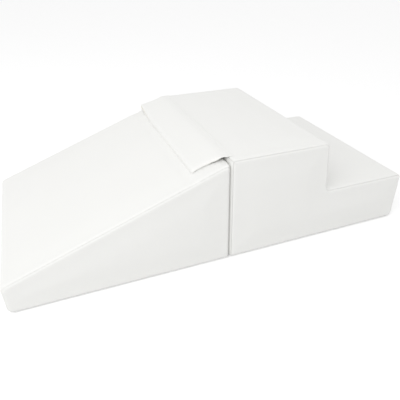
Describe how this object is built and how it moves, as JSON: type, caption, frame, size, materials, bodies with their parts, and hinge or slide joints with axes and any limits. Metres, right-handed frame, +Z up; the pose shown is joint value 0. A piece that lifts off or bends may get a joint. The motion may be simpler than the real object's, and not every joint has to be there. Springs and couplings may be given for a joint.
{
  "type": "soft play foam climber",
  "caption": "Padded foam climber for toddlers: a wedge slide and a block with a platform and a lower step, joined by a sewn flap that folds over the join.",
  "frame": {"origin": "on the floor, under the middle of the whole climber, in the middle of the join between the slide and the steps", "axes": "+X from the slide's toe towards the steps, +Y across towards the side with the zips, +Z up"},
  "size_m": [1.197, 0.606, 0.311],
  "materials": {
    "cover": "smooth white faux leather, semi-matt",
    "foam": "open-cell upholstery foam, matt",
    "loop_tape": "white loop tape",
    "hook_tape": "white hook tape",
    "zip_tape": "white woven zip tape",
    "zip_coil": "white nylon coil",
    "zip_metal": "nickel-plated"
  },
  "bodies": {
    "slide_module": {"slide_foam_wedge": "foam", "slide_ramp_panel": "cover", "slide_join_panel": "cover", "slide_base_panel": "cover", "slide_near_side_panel": "cover", "slide_far_side_panel": "cover", "slide_far_lower_panel": "cover", "slide_loop_tape": "loop_tape", "slide_zip_upper_tape": "zip_tape", "slide_zip_lower_tape": "zip_tape", "slide_zip_coil": "zip_coil", "slide_zip_top_stop": "zip_metal", "slide_zip_end_stop": "zip_metal"},
    "slide_zip_slider": {"slide_zip_slider": "zip_metal"},
    "slide_zip_pull": {"slide_zip_pull": "zip_metal"},
    "steps_module": {"steps_base_foam": "foam", "steps_upper_foam": "foam", "steps_top_panel": "cover", "steps_join_panel": "cover", "steps_base_panel": "cover", "steps_near_side_panel": "cover", "steps_far_side_panel": "cover", "steps_far_lower_panel": "cover", "flap_sewn_edge": "cover", "steps_zip_upper_tape": "zip_tape", "steps_zip_lower_tape": "zip_tape", "steps_zip_coil": "zip_coil", "steps_zip_top_stop": "zip_metal", "steps_zip_end_stop": "zip_metal"},
    "steps_zip_slider": {"steps_zip_slider": "zip_metal"},
    "steps_zip_pull": {"steps_zip_pull": "zip_metal"},
    "flap": {"flap_top_skin": "cover", "flap_padding": "foam", "flap_bottom_skin": "cover", "flap_hook_tape": "hook_tape"}
  },
  "joints": [
    {"name": "steps_lift_off", "type": "slide", "parent": "slide_module", "child": "steps_module", "axis": [0, 0, 1], "range_m": [0, 0.35]},
    {"name": "flap_fold", "type": "hinge", "parent": "steps_module", "child": "flap", "pos_m": [-0.004, 0, 0.3096], "axis": [0, 1, 0], "range_deg": [0, 175]},
    {"name": "slide_zip_run", "type": "slide", "parent": "slide_module", "child": "slide_zip_slider", "axis": [-1, 0, 0], "range_m": [0, 0.45]},
    {"name": "slide_zip_pull_swing", "type": "hinge", "parent": "slide_zip_slider", "child": "slide_zip_pull", "pos_m": [-0.0726, 0.30125, 0.042], "axis": [0, 0, -1], "range_deg": [0, 175]},
    {"name": "steps_zip_run", "type": "slide", "parent": "steps_module", "child": "steps_zip_slider", "axis": [1, 0, 0], "range_m": [0, 0.45]},
    {"name": "steps_zip_pull_swing", "type": "hinge", "parent": "steps_zip_slider", "child": "steps_zip_pull", "pos_m": [0.0726, 0.30125, 0.042], "axis": [0, 0, 1], "range_deg": [0, 175]}
  ]
}
